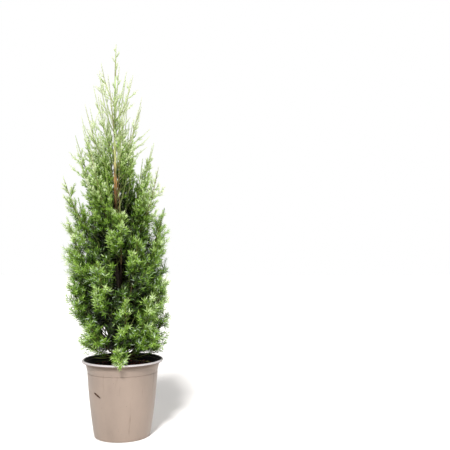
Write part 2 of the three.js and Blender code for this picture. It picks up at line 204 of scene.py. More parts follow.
# Finer growth: at the foot of the crown and at its top, and a random factor's least and most
FILL_SEED = 11
FILL_PITCH = (6.2, 5.4)
FILL_FIRST = 0.12
FILL_LAST = (0.95, 0.76)
FILL_ANGLE = (0.95, 0.42, 0.8, 1.2)
FILL_SHARE = (0.38, 0.26, 0.65, 1.1)
FILL_LONGEST = (42, 22)
FILL_SHORTEST = 4
FILL_LIFT = (0.1, 0.4)
FILL_TURN_SCATTER = 0.3
TWIG_PITCH = (4.6, 3.6)
TWIG_LENGTH = (13.5, 8, 0.55, 1.15)
TWIG_SHORTEST = 2.5
TWIG_ANGLE = (0.9, 0.4, 0.75, 1.25)
TWIG_TAPER = (0.7, 1.05)
TWIG_FIRST = 0.1
TWIG_LAST = (0.97, 0.74)
TWIG_LIFT = (0.05, 0.35)
TWIG_MOST = (0.8, 0.5)
TWIG_RADII = (0.42, 0.16)

# Between these shares of the crown's height side growth thins out to a share of its density
THINNING = (0.6, 0.77)
TOP_DENSITY = 0.26

# The front view: its place, its tilt upwards, and its focal length for one width of picture
VIEW_PLACE = np.array([165.4, -1045.1, 299.6])
VIEW_TILT = 0.0369
VIEW_FOCUS = 641 / 450
VIEW_CLIP = (0.05, 50)

# Bare stretches of trunk that show from the front, as heights above the rim
BARE_STRETCHES = [(256, 290), (306, 350)]
BARE_HALF_WIDTH = 3.6
BARE_FADE = 6

# Pockets in the front of the crown: place beside the trunk and height, half width, half height
POCKETS = [
    (12, 281, 12.5, 18), (6, 249, 9, 14), (2, 134, 12, 20), (-24, 196, 5, 8), (18, 60, 9, 10),
]
# A place at the foot of the crown where the view goes right through, likewise
SEE_THROUGH = (-27, 43, 5, 9)

# The crown's foot above the rim at the sides, its rise to the front and fall to the back, and
# how far needles hang below it
LOWEST_FOLIAGE = 13
FRONT_RISE = 10
NEEDLE_HANG = 6
LIP_ROOM = 1.5

# The sprig over the rim: its sector, how short its sprays are, and how much darker it is
SPRIG_SECTOR = 0.2
SPRIG_SPREAD = 0.62
SPRIG_SHADE = 0.09

# Needles, likewise: awl-shaped below, short and pressed to the twig above
NEEDLE_PITCH = (2.8, 1.75)
NEEDLE_LENGTH = (9.4, 3.7, 0.75, 1.15)
NEEDLE_WIDTH = (1.2, 1.1)
NEEDLE_ANGLE = (0.98, 0.42, 0.75, 1.25)
NEEDLE_WIDEST = 0.3
NEEDLE_KEEL = 0.4
NEEDLE_BEND = 0.12
NEEDLE_SEAT = 0.2
NEEDLE_TURN_SCATTER = 0.15
# How much closer and shorter needles get at a twig's tip
TIP_ANGLE = 0.55
TIP_LENGTH = 0.75
NEEDLE_FACES = np.array([[0, 1, 2], [0, 2, 3], [1, 4, 2], [2, 4, 3]])
WHORL = 3
# Bare shares at the root of stems, spire, leader, sprays and twiglets
BARE_SHARES = (0.4, 0.1, 0, 0.12, 0.08)
FRESH_TIPS = 0.38
# Spread of tone among stems, sprays and twiglets
TONE_SPREADS = (0.12, 0.06, 0.05)
SPRAY_END_TONE = 0.25
# Up to this share of the crown's height needles stand out like stars, then lie ever closer
STARS_TO = 0.23
STAR_BLEND = 0.44

# Tone from 0, dark, to 1: its least, its rise up the crown, a smooth step, a lighter foot, and
# where the rise ends
LOWEST_TONE = 0.285
TONE_RISE = 0.33
TONE_STEP = 0.375
STEP_START = 0.235
STEP_LENGTH = 0.465
FOOT_LIGHT = 0.06
FOOT_SHARE = 0.15
LAST_RISE = 0.8
# Light on outer growth: strength, share of the radius where shade begins, fading up the crown
OUTER_LIGHT = 1.1
OUTER_SHARE = 0.8
OUTER_FADE = (2.3, 2.9)
TONE_PLACE = 0.7

# Colours, as red, green and blue of a screen
NEEDLE_TONES = [
    (20, 29, 10), (46, 73, 14), (83, 121, 27), (121, 158, 49), (147, 182, 76), (176, 203, 122),
    (206, 224, 164), (228, 238, 200),
]
INNER_DENSITY = 0.82
# Pale blue-green needles in the low crown: partly their real bloom, partly a painted highlight
GLAUCOUS_AND_HIGHLIGHT_COLOUR = (186, 206, 176)
GLAUCOUS_AND_HIGHLIGHT_SHARE = 0.06
POT_COLOUR = (143, 127, 115)
# The lip's top is paler than the pot: a painted highlight
LIP_HIGHLIGHT_COLOUR = (184, 178, 178)
INSIDE_COLOUR = (22, 20, 20)
FLECK_COLOUR = (72, 50, 34)
SOIL_COLOUR = (46, 30, 26)
CHIP_COLOURS = [(116, 56, 40), (62, 40, 32), (132, 84, 60)]
# Bark colours by height above the floor: the two dark lowest ones are painted shade on the trunk
# inside the crown
BARK_HEIGHTS = [290, 364, 386, 408, 440, 500]
BARK_AND_SHADE_COLOURS = [
    (46, 37, 27), (80, 58, 38), (156, 112, 68), (164, 122, 76), (172, 168, 116), (144, 164, 100),
]
BARK_STEP = 11
STEM_COLOURS = [(93.6, 79.2, 45), (111.6, 97.2, 55.8), (138.6, 140.4, 90)]
TWIG_COLOURS = [(106.4, 117.8, 58.9), (121.6, 133, 74.1), (169.1, 180.5, 127.3)]
# The shares of the crown's height from which stems and twigs take the next colour
COLOUR_STEPS = (0.44, 0.62)
# The pot's dirt, with dust and painted shade under its lip, which its colour is multiplied by
WHITE = (255, 255, 255)
STREAKS = [(0.62, WHITE), (0.8, (196, 184, 172))]
SPECKS = [(0.7, WHITE), (0.76, (150, 132, 116))]
DUST_AND_SHADE = [(0, WHITE), (0.6, (236, 229, 222)), (0.85, (196, 180, 168)), (1, (158, 140, 126))]
FLOOR_COLOUR = (250, 247, 244)

FLOOR_BELOW = 0.2
FLOOR_REACH = 6000

# Most needles in one piece
MOST_NEEDLES = 45000

# Light: name, azimuth from the front towards the right, elevation, softness, strength
SKY_STRENGTH = 0.14
SUNS = [("key", -6, 46, 10, 4.3), ("fill", 55, 30, 50, 0.8), ("top", 180, 70, 50, 1.1)]


def screen_to_linear(colour):
    """A screen colour as linear light, with an alpha of 1."""
    share = np.minimum(colour, 255) / 255
    linear = np.where(share <= 0.04045, share / 12.92, ((share + 0.055) / 1.055) ** 2.4)
    return (*linear, 1)


def lerp(a, b, share):
    return a + (b - a) * share


def scattered(values, share, random):
    """Between two values by shares, times a random factor between the other two."""
    return lerp(*values[:2], share) * random.uniform(*values[2:], len(share))


def smooth_step(share):
    return share * share * (3 - 2 * share)


def circle_turns(count):
    return np.arange(count) * TURN / count


def unit(vectors):
    return vectors / np.linalg.norm(vectors, axis=-1, keepdims=True)


def turned(first, second, angle):
    """Directions that are turned from one direction towards another by an angle."""
    angle = np.asarray(angle)[..., None]
    return first * np.cos(angle) + second * np.sin(angle)


def flat_length(vectors):
    """The length of vectors as seen from above."""
    return np.hypot(vectors[..., 0], vectors[..., 1])


def chance(shoot, draw):
    """A number from 0 to 1 that depends only on the seed, the shoot and the draw."""
    mixed = ((shoot + SEED) * 374761393 + draw * 668265263) & 0xFFFFFFFF
    mixed = ((mixed ^ (mixed >> 13)) * 1274126177) & 0xFFFFFFFF
    return (mixed ^ (mixed >> 16)) / 4294967296


def trunk_axis(z):
    """Points of the trunk's axis at heights above the floor."""
    z = np.asarray(z, float)
    share = (z - TRUNK_FOOT) / (LEADER_TIP - TRUNK_FOOT)
    x = -LEAN_LEFT * np.sin(math.pi * LEAN_TURNS * share)
    return np.stack([x, LEAN_BACK * np.sin(math.pi * share), z], axis=-1)


def trunk_radius(z):
    share = np.clip((z - TRUNK_FOOT) / (TRUNK_TIP - TRUNK_FOOT), 0, 1)
    return lerp(*TRUNK_RADII, (1 - share) ** TRUNK_TAPER)


def off_trunk(points):
    """How far points are from the trunk's axis at their own height."""
    return flat_length(points - trunk_axis(points[..., 2]))


def flare_at(z, angle):
    lobes = 1 + LOBE_DEPTH * np.cos(FLARE_LOBES * angle)
    return FLARE * lobes * np.exp(-(z - TRUNK_FOOT) / FLARE_HEIGHT)


def crown_radius(height):
    """The crown's radius round the trunk at heights above the rim."""
    height = np.asarray(height, float)
    above = np.clip((height - WIDEST_HEIGHT) / (LEADER_TIP_HEIGHT - WIDEST_HEIGHT), 0, 1)
    below = np.clip((WIDEST_HEIGHT - height) / (WIDEST_HEIGHT - CROWN_FOOT_HEIGHT), 0, None)
    top = WIDEST_RADIUS * np.cos(math.pi / 2 * above) ** TOP_ROUNDNESS
    foot = WIDEST_RADIUS * (1 - FOOT_NARROWING * below ** FOOT_ROUNDNESS)
    return np.where(height > WIDEST_HEIGHT, top, foot)


def crown_share(points):
    """How far up the crown points are, from 0 at the rim to 1 at the leader's tip."""
    return np.clip((points[..., 2] - RIM_HEIGHT) / LEADER_TIP_HEIGHT, 0, 1)


def pot_wall(z):
    share = z / BAND_HEIGHT
    bulge = BODY_MIDDLE_RADIUS - (FOOT_RADIUS + BODY_TOP_RADIUS) / 2
    return lerp(FOOT_RADIUS, BODY_TOP_RADIUS, share) + 4 * bulge * share * (1 - share)


def bend_point(curve, share):
    """Points on quadratic curves, each an array of its root, elbow and end."""
    root, elbow, end = np.moveaxis(curve, -2, 0)
    share = np.asarray(share, float)[..., None]
    return (1 - share) ** 2 * root + 2 * (1 - share) * share * elbow + share ** 2 * end


def bend_tangent(curve, share):
    root, elbow, end = np.moveaxis(curve, -2, 0)
    share = np.asarray(share, float)[..., None]
    return unit((1 - share) * (elbow - root) + share * (end - elbow))


def bend_length(curve):
    points = bend_point(curve, np.linspace(0, 1, LENGTH_STEPS + 1))
    return np.linalg.norm(np.diff(points, axis=0), axis=-1).sum()


def cross_axes(axis, wanted):
    """Two directions square to an axis, the first as near as can be to the one asked for."""
    along = (wanted * axis).sum(axis=-1, keepdims=True)
    across = unit(wanted - along * axis)
    return across, np.cross(axis, across)


def shoot_curve(index, place, turn, reach_share):
    """One shoot, from the trunk's axis out to its tip: its curve, its side and its turn."""
    share = place / (SHOOTS - 1)
    scatter = TIP_SCATTER * (chance(index, 1) - 0.5)
    tip = lerp(*TIP_HEIGHTS, share ** TIP_CROWDING) + scatter * (1 - share)
    base = lerp(*BASE_HEIGHTS, share ** BASE_CROWDING)
    if index == 0:
        tip, reach, turn = SPRIG_TIP, SPRIG_REACH, turn + SPRIG_TURN
        outwards, sideways, upwards = SPRIG_ELBOW_OUT, 0, SPRIG_ELBOW_HEIGHT - base
    else:
        reach = float(crown_radius(tip) * reach_share)
        turn += ANGLE_SCATTER * (chance(index, 2) - 0.5)
        sideways = ELBOW_SIDE * (chance(index, 4) - 0.5)
        outwards, upwards = ELBOW_OUT, ELBOW_UP * (tip - base)
    out = turned(RIGHT, BACK, turn)
    side = np.cross(UP, out)
    root = trunk_axis(RIM_HEIGHT + base)
    end = trunk_axis(RIM_HEIGHT + tip) + out * reach
    elbow = root + out * outwards * reach + side * sideways + UP * upwards
    return np.stack([root, elbow, end]), side, turn


def leaves_trunk(curve, radius):
    """The share of a shoot's curve at which it comes clear of the trunk."""
    shares = np.arange(0, 1, 0.001)
    return shares[np.argmax(off_trunk(bend_point(curve, shares)) >= radius + CLEARANCE)]


def make_shoot(index):
    reach_share = lerp(*REACHES, chance(index, 3))
    curve, side, turn = shoot_curve(index, index, FRONT + index * GOLDEN_ANGLE, reach_share)
    height = curve[0, 2]
    flare = flare_at(height - STEM_RADII[0], turn)
    foot = leaves_trunk(curve, trunk_radius(height) + flare)
    start = BOUGH_SHARE if index in BOUGH_NUMBERS else foot
    return {
        "index": index, "curve": curve, "across": side, "foot": foot, "start": start,
        "length": bend_length(curve) * (1 - start),
    }


def make_fine_shoot(number):
    """A shoot between the others: it starts on the trunk and may end inside the crown."""
    place = lerp(*FINE_PLACES, (number / (FINE_SHOOTS - 1)) ** FINE_CROWDING)
    index = SHOOTS + 1 + number
    turn = FRONT + FINE_TURN + number * GOLDEN_ANGLE
    curve, side, _ = shoot_curve(index, place, turn, lerp(*FINE_REACHES, chance(index, 5)))
    height = curve[0, 2]
    start = leaves_trunk(curve, trunk_radius(height) + flare_at(height, 0)) * FINE_ROOT_SHARE
    return {"curve": curve, "across": side, "start": start, "length": bend_length(curve)}


def make_leader():
    root, end = trunk_axis(TRUNK_TIP + CLEARANCE), trunk_axis(LEADER_TIP)
    curve = np.stack([root, (root + end) / 2, end])
    return {
        "index": SHOOTS, "curve": curve, "across": RIGHT, "start": 0.0,
        "length": bend_length(curve),
    }


def sampled(shoot, first, last):
    return bend_point(shoot["curve"], np.linspace(first, last, STEM_SAMPLES + 1))


shoots = [make_shoot(index) for index in range(SHOOTS)] + [make_leader()]
boughs = [shoots[index] for index in BOUGH_NUMBERS]
stem_lines = np.stack([sampled(shoot, shoot["start"], 1) for shoot in shoots])
bough_lines = np.stack([sampled(shoot, shoot["foot"], shoot["start"]) for shoot in boughs])


def line_distances(point, lines):
    """Distance from a point to each of several lines of equally many points."""
    start, end = lines[:, :-1], lines[:, 1:]
    along = end - start
    share = ((point - start) * along).sum(-1) / (along ** 2).sum(-1)
    nearest = start + np.clip(share, 0, 1)[..., None] * along
    return np.linalg.norm(nearest - point, axis=-1).min(axis=1)


def room_around(point, own):
    """The room round a point before it meets a limb, the pot, the soil or another shoot."""
    room = math.inf
    if point[2] < TRUNK_TIP + CLEARANCE:
        room = off_trunk(point) - trunk_radius(point[2]) - flare_at(point[2], 0)
    across = flat_length(point) - (RIM_RADIUS + COLLAR_TOP_RADIUS) / 2
    off_lip = math.hypot(across, point[2] - (RIM_HEIGHT - LIP_THICKNESS / 2))
    off_lip -= (RIM_RADIUS - COLLAR_TOP_RADIUS) / 2 + WALL
    off_limbs = line_distances(point, bough_lines).min() - BOUGH_RADII[0]
    distances = line_distances(point, stem_lines)
    half_way = (np.delete(distances, own["index"]).min() - distances[own["index"]]) / 2
    return min(room, off_lip, off_limbs, point[2] - SOIL_TOP, half_way) - CLEARANCE


def inside_outline(points, margin):
    limit = crown_radius(points[..., 2] - RIM_HEIGHT) + margin
    return (off_trunk(points) < limit) & (points[..., 2] < LEADER_TIP)


def main_spray(shoot, number, lines):
    """The line of one main spray, or None where no direction leaves it in its own space."""
    along = lerp(*SPRAY_SPAN, number / (SPRAYS - 1))
    share = lerp(shoot["start"], 1, along)
    root = bend_point(shoot["curve"], share)
    tangent = bend_tangent(shoot["curve"], share)
    axes = cross_axes(tangent, shoot["across"])
    part_of_stem = LEADER_SPRAY_SHARE if shoot["index"] == SHOOTS else SPRAY_SHARE
    wanted = np.clip(shoot["length"] * part_of_stem * (1.25 - along), *SPRAY_LENGTHS)
    wanted *= SPRIG_SPREAD if shoot["index"] == 0 else 1
    for shorter in SHORTER_TRIES:
        for tried in range(number, number + SPRAY_TRIES):
            turn = tried * GOLDEN_ANGLE + TURN * chance(shoot["index"], 10)
            ahead = turned(tangent, turned(*axes, turn), SPRAY_ANGLE)
            line = np.stack([root, root + unit(ahead + UP * SPRAY_LIFT) * wanted * shorter])
            if all(
                inside_outline(spot, OUTLINE_MARGIN) and room_around(spot, shoot) > SPRAY_ROOM
                and all(line_distances(spot, other[None])[0] > 2 * SPRAY_ROOM for other in lines)
                for spot in (lerp(*line, part) for part in OUTER_PARTS)
            ):
                return line
    return None


def before_bare_trunk(points, pockets=POCKETS):
    """Which points hide bare trunk, a pocket or the see-through place from the front view."""
    ahead = points - VIEW_PLACE
    reach = (trunk_axis(points[:, 2])[:, 1] - VIEW_PLACE[1]) / ahead[:, 1]
    seen = VIEW_PLACE + ahead * reach[:, None]
    height = seen[:, 2] - RIM_HEIGHT
    beside = seen[:, 0] - trunk_axis(seen[:, 2])[:, 0]

    def within(place, level, half_width, half_height):
        return np.hypot((beside - place) / half_width, (height - level) / half_height) < 1

    bare = np.zeros(len(points), bool)
    for low, high in BARE_STRETCHES:
        fade = np.clip(np.minimum(height - low, high - height) / BARE_FADE, 0, 1)
        bare |= np.abs(beside) < BARE_HALF_WIDTH * fade
    for pocket in pockets:
        bare |= within(*pocket)
    return bare & (reach > 1) | within(*SEE_THROUGH)


def above_foot(points, hang=0):
    """Which points are above the crown's foot, which is lower at the back and at the sprig."""
    turn = np.arctan2(points[:, 1], points[:, 0]) - FRONT
    over_lip = (abs(turn - SPRIG_TURN) < SPRIG_SECTOR) & (flat_length(points) > RIM_RADIUS / 2)
    front = np.clip(-points[:, 1] / RIM_RADIUS, -1, 1)
    level = RIM_HEIGHT + LOWEST_FOLIAGE + FRONT_RISE * front
    return points[:, 2] > np.where(over_lip, SOIL_TOP + 2, level - hang)


def screened_curves(curves, least_before=2):
    """Which curves keep off the soil and the pot's lip and don't hide the bare trunk."""
    keep = np.ones(len(curves), bool)
    before = np.zeros(len(curves), int)
    for share in (0.25, 0.5, 0.75, 1.0):
        points = bend_point(curves, share)
        before += before_bare_trunk(points)
        across = abs(flat_length(points) - RIM_RADIUS + LIP_THICKNESS)
        in_lip = (across < LIP_THICKNESS + LIP_ROOM) & (points[:, 2] < RIM_HEIGHT + LIP_ROOM)
        keep &= above_foot(points) & ~in_lip
    return keep & (before < least_before)


def grow(parents, rows, along, turn, angle, length, lift, margin, random):
    """Side curves that bend towards their parents, short enough for the crown's outline."""
    curve = parents["curve"][rows]
    root, tangent = bend_point(curve, along), bend_tangent(curve, along)
    axes = cross_axes(tangent, parents["across"][rows])
    first = turned(tangent, turned(*axes, turn), angle)
    last = unit(first + tangent * BEND_BACK + UP * lift[:, None])
    length = length[:, None].copy()
    for _ in range(OUTLINE_TRIES):
        end = root + length * (first + last) / 2
        length[~inside_outline(end, margin)] *= SHORTENING
    curve = np.stack([root, root + length * first / 2, root + length * (first + last) / 2], axis=1)
    across = unit(np.cross(last, random.normal(size=last.shape)))
    return {"curve": curve, "length": length[:, 0], "across": across}


def chosen(batch, keep):
    """The rows of a batch that are kept."""
    return {name: value[keep] for name, value in batch.items()}


def joined(batches):
    """Several batches as one, with the columns that all of them have."""
    names = set.intersection(*map(set, batches))
    return {name: np.concatenate([batch[name] for batch in batches]) for name in names}


def numbered(wanted, least):
    """Whole counts, the rows that they fill, and each one's number within its own count."""
    counts = np.maximum(wanted, least).round().astype(int)
    rows = np.repeat(np.arange(len(counts)), counts)
    return counts, rows, np.arange(len(rows)) - np.repeat(np.cumsum(counts) - counts, counts)


def stem_batch(several):
    """The leafy part of each of several shoots, as a batch of curves."""
    batch = {name: np.array([shoot[name] for shoot in several]) for name in ("length", "across")}
    curves = []
    for shoot in several:
        curve, start = shoot["curve"], shoot["start"]
        curves.append([bend_point(curve, start), lerp(curve[1], curve[2], start), curve[2]])
    return {"curve": np.array(curves), **batch}


def spire_batch():
    """The top of the trunk, which carries sprays of its own up to the leader."""
    low, high = RIM_HEIGHT + SPIRE_FOOT_HEIGHT, TRUNK_TIP
    curve = trunk_axis([[low, (low + high) / 2, high]])
    return {"curve": curve, "length": np.array([high - low]), "across": RIGHT[None]}


def main_spray_batch(random):
    """The main sprays of all shoots, each bowed a little about its straight line."""
    found, owners = [], []
    for shoot in shoots:
        lines = []
        for number in range(SPRAYS):
            line = main_spray(shoot, number, lines)
            lines += [] if line is None else [line]
        found += lines
        owners += [shoot["index"]] * len(lines)
    root, end = np.stack(found, axis=1)
    length = np.linalg.norm(end - root, axis=1)
    across = unit(np.cross(end - root, random.normal(size=root.shape)))
    middle = (root + end) / 2 - UP * (SPRAY_SAG * length)[:, None]
    curve = np.stack([root, middle, end], axis=1)
    return {"curve": curve, "length": length, "across": across, "stem": np.array(owners)}


def thinned(height, random):
    """Which side growths stay, at shares of the crown's height."""
    share = np.clip((height - THINNING[0]) / (THINNING[1] - THINNING[0]), 0, 1)
    return random.random(len(height)) < lerp(1, TOP_DENSITY, share)


def fill_spray_batch(stems, random, spire=False):
    """More sprays along each stem, between the main ones, or all those of the spire."""
    height = crown_share(stems["curve"][:, 1])
    last = lerp(*FILL_LAST, height)
    wanted = stems["length"] * (last - FILL_FIRST) / lerp(*FILL_PITCH, height)
    counts, rows, number = numbered(wanted, 0)
    spots, scatter = np.concatenate([
        (random.random(count), random.normal(0, FILL_TURN_SCATTER, count)) for count in counts
    ], axis=1)
    along = lerp(FILL_FIRST, last[rows], (number + spots) / counts[rows])
    turns = number * GOLDEN_ANGLE + scatter
    height = crown_share(bend_point(stems["curve"][rows], along))
    angle = scattered(FILL_ANGLE, height, random)
    length = stems["length"][rows] * scattered(FILL_SHARE, height, random)
    length = np.minimum(length, lerp(*FILL_LONGEST, height)) * (1.2 - along)
    length = np.maximum(length, FILL_SHORTEST)
    if not spire:
        length[rows == 0] *= SPRIG_SPREAD
    lift = lerp(*FILL_LIFT, height)
    batch = grow(stems, rows, along, turns, angle, length, lift, OUTLINE_MARGIN, random)
    batch["stem"] = rows
    stay = thinned(height, random) | spire
    return chosen(batch, screened_curves(batch["curve"]) & stay)


def twig_batch(sprays, random):
    """Twiglets along each spray."""
    height = crown_share(sprays["curve"][:, 1])
    wanted = sprays["length"] * (1 - TWIG_FIRST) / lerp(*TWIG_PITCH, height)
    counts, rows, number = numbered(wanted, 1)
    height = height[rows]
    spots = (number + random.random(len(rows))) / counts[rows]
    along = lerp(TWIG_FIRST, lerp(*TWIG_LAST, height), spots)
    turns = number * GOLDEN_ANGLE + random.uniform(0, TURN, len(counts))[rows]
    angle = scattered(TWIG_ANGLE, height, random)
    length = scattered(TWIG_LENGTH, height, random) * (1.15 - lerp(*TWIG_TAPER, height) * along)
    length = np.minimum(length, lerp(*TWIG_MOST, height) * sprays["length"][rows])
    length = np.maximum(length, TWIG_SHORTEST)
    lift = lerp(*TWIG_LIFT, height)
    batch = grow(sprays, rows, along, turns, angle, length, lift, TWIG_MARGIN, random)
    batch["spray"], batch["spot"] = rows, spots
    stay = thinned(crown_share(batch["curve"][:, 0]), random)
    return chosen(batch, screened_curves(batch["curve"], 1) & stay)


def ring_faces(rings, sides):
    """Faces of four corners between closed rings of points that follow one another."""
    ring = np.arange(rings * sides).reshape(rings, sides)
    after = np.roll(ring, -1, axis=1)
    return np.stack([ring[:-1], after[:-1], after[1:], ring[1:]], axis=-1).reshape(-1, 4)


def halved(faces):
    """Faces of four corners as twice as many triangles."""
    return np.concatenate([faces[:, [0, 1, 2]], faces[:, [0, 2, 3]]])


def fan(ring, tip):
    """Triangles from each edge of a ring of corners to one more corner."""
    return np.stack([ring, np.roll(ring, -1), np.full(len(ring), tip)], axis=1)


def repeated(faces, count, corners):
    """The faces of one small body, for each of several that follow one another."""
    starts = np.arange(count)[:, None, None] * corners
    return (faces + starts).reshape(-1, faces.shape[1])


def tube_arrays(batch, radii, steps, sides):
    """Vertices and faces of slim tubes along a batch of curves, each closed by its tip."""
    curve = batch["curve"]
    rings = []
    for share in np.linspace(0, 1, steps + 1)[:-1]:
        first, second = cross_axes(bend_tangent(curve, share), batch["across"])
        around = turned(first[:, None], second[:, None], circle_turns(sides))
        rings.append(bend_point(curve, share)[:, None] + lerp(*radii, share) * around)
    vertices = np.concatenate([*rings, curve[:, 2:]], axis=1)
    cap = fan((steps - 1) * sides + np.arange(sides), steps * sides)
    faces = np.concatenate([halved(ring_faces(steps, sides)), cap])
    return vertices.reshape(-1, 3), repeated(faces, *vertices.shape[:2])


def needle_nodes(batch, first, random):
    """Where the whorls of needles stand along a batch of curves."""
    height = crown_share(bend_point(batch["curve"], 0.5))
    wanted = batch["length"] * (1 - first) / lerp(*NEEDLE_PITCH, height)
    counts, rows, number = numbered(wanted, 2)
    along = lerp(first, 1, (number + 0.75) / counts[rows])
    curve = batch["curve"][rows]
    point = bend_point(curve, along)
    axis = bend_tangent(curve, along)
    aside, square = cross_axes(axis, batch["across"][rows])
    whorls = {
        "point": point, "axis": axis, "aside": aside, "square": square, "along": along,
        "turn": number * math.pi / WHORL + random.uniform(0, TURN, len(counts))[rows],
        "tone": batch["tone"][rows] + FRESH_TIPS * (along - 0.5),
    }
    return chosen(whorls, ~before_bare_trunk(point) & above_foot(point, NEEDLE_HANG))


def needle_arrays(whorls, random):
    """Corners of all needles, which are keeled blades, and the number of each one's colour."""
    height = crown_share(whorls["point"])
    close = smooth_step(np.clip((height - STARS_TO) / STAR_BLEND, 0, 1))
    corners, clear = [], []
    for number in range(WHORL):
        scatter = random.normal(0, NEEDLE_TURN_SCATTER, len(close))
        turn = whorls["turn"] + number * TURN / WHORL + scatter
        outward = turned(whorls["aside"], whorls["square"], turn)
        angle = scattered(NEEDLE_ANGLE, close, random)
        angle *= lerp(1, TIP_ANGLE, whorls["along"] ** 4)
        length = scattered(NEEDLE_LENGTH, close, random)[:, None]
        length *= lerp(1, TIP_LENGTH, whorls["along"] ** 3)[:, None]
        ahead = turned(whorls["axis"], outward, angle)
        aside = unit(np.cross(ahead, outward)) * lerp(*NEEDLE_WIDTH, close)[:, None] / 2
        keel = np.cross(aside, ahead) * NEEDLE_KEEL
        root = whorls["point"] + outward * NEEDLE_SEAT
        belly = root + ahead * length * NEEDLE_WIDEST
        left, right = belly + aside - keel / 2, belly - aside - keel / 2
        tip = root + (ahead + whorls["axis"] * NEEDLE_BEND) * length
        corners.append(np.stack([root, left, belly + keel, right, tip], axis=1))
        clear.append(~before_bare_trunk(tip, []) & ~before_bare_trunk(belly, []))
    count = len(NEEDLE_TONES)
    groups = np.tile((whorls["tone"] * count).clip(0, count - 1).astype(int), WHORL)
    inner = groups == 0
    # A share of the low needles turn pale: real bloom and painted highlight
    share = GLAUCOUS_AND_HIGHLIGHT_SHARE * np.tile(1 - close, WHORL)
    groups[~inner & (random.random(len(groups)) < share)] = count
    stay = ~inner | (random.random(len(groups)) < INNER_DENSITY)
    stay &= np.concatenate(clear)
    return np.concatenate(corners)[stay], groups[stay]


def add_object(name, data):
    added = bpy.data.objects.new(name, data)
    bpy.context.scene.collection.objects.link(added)
    return added


def make_mesh(name, vertices, faces, finishes, dealt=None):
    """An object from arrays in millimetres, with the number of each face's finish as dealt."""
    faces = np.asarray(faces)
    mesh = bpy.data.meshes.new(name)
    mesh.vertices.add(len(vertices))
    mesh.vertices.foreach_set("co", (np.asarray(vertices) * MM).astype(np.float32).ravel())
    mesh.loops.add(faces.size)
    mesh.loops.foreach_set("vertex_index", faces.astype(np.int32).ravel())
    mesh.polygons.add(len(faces))
    starts = np.arange(0, faces.size, faces.shape[1], dtype=np.int32)
    mesh.polygons.foreach_set("loop_start", starts)
    mesh.update(calc_edges=True)
    mesh.validate()
    for finish in finishes:
        mesh.materials.append(finish)
    if dealt is not None:
        mesh.polygons.foreach_set("material_index", dealt.astype(np.int32))
    return add_object(name, mesh)


def settle(piece, slot, *nodes):
    """Fastens a piece to the plant's one body and hides the solids that it stands for; slot is not
    used.
    """
    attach(piece, "root")
    if nodes:
        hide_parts(*nodes)


def set_inputs(tree, node, values):
    """Sets a node's inputs, or links them to other nodes' outputs."""
    for name, value in values.items():
        if isinstance(value, bpy.types.NodeSocket):
            tree.links.new(value, node.inputs[name])
        else:
            node.inputs[name].default_value = value


def add_node(tree, kind, values, output):
    """Adds a node, and gives one of its outputs."""
    node = tree.nodes.new("ShaderNode" + kind)
    set_inputs(tree, node, values)
    return node.outputs[output]


def node_material(name, roughness, specular=0.5, colour=(255, 255, 255)):
    """A new material, with its node tree and its shader."""
    material = bpy.data.materials.new(name)
    material.use_nodes = True
    tree = material.node_tree
    shader = tree.nodes["Principled BSDF"]
    values = {"Roughness": roughness, "Specular IOR Level": specular}
    set_inputs(tree, shader, {"Base Color": screen_to_linear(colour), **values})
    return material, tree, shader


def noise_source(tree, scale, detail, stretch=(1, 1, 1)):
    """Noise in the object's own metres, stretched by scaling its coordinates."""
    place = add_node(tree, "TexCoord", {}, "Object")
    place = add_node(tree, "Mapping", {"Vector": place, "Scale": stretch}, "Vector")
    return add_node(tree, "TexNoise", {"Vector": place, "Scale": scale, "Detail": detail}, "Fac")


def ramp_source(tree, source, stops):
    """A colour ramp over a source between stops of position and screen colour."""
    ramp = tree.nodes.new("ShaderNodeValToRGB")
    set_inputs(tree, ramp, {"Fac": source})
    elements = ramp.color_ramp.elements
    elements.remove(elements[1])
    elements[0].position = stops[0][0]
    elements[0].color = screen_to_linear(stops[0][1])
    for position, colour in stops[1:]:
        elements.new(position).color = screen_to_linear(colour)
    return ramp.outputs["Color"]


def add_bump(tree, shader, source, strength, distance):
    values = {"Height": source, "Strength": strength, "Distance": distance}
    set_inputs(tree, shader, {"Normal": add_node(tree, "Bump", values, "Normal")})


def shades(colour, *stops):
    """Stops of a ramp: positions, each with the colour times a factor."""
    return [(position, np.array(colour) * factor) for position, factor in stops]


def noise_material(name, roughness, specular, grain, stops, bump=None):
    """Its colour follows noise between stops, and so does its relief if it has any."""
    material, tree, shader = node_material(name, roughness, specular)
    source = noise_source(tree, *grain)
    set_inputs(tree, shader, {"Base Color": ramp_source(tree, source, stops)})
    if bump:
        add_bump(tree, shader, source, *bump)
    return material


def plain_materials(name, colours, *gloss):
    """One even colour each, for pieces that join many small things."""
    return [
        node_material(f"{name}_{number}", *gloss, colour)[0]
        for number, colour in enumerate(colours)
    ]


def bark_material(name, colour, scale):
    stops = shades(colour, (0.3, 0.45), (0.48, 0.9), (0.7, 1.35))
    return noise_material(name, 0.72, 0.3, (scale, 6, (1, 1, 0.12)), stops, (0.6, 0.0004))


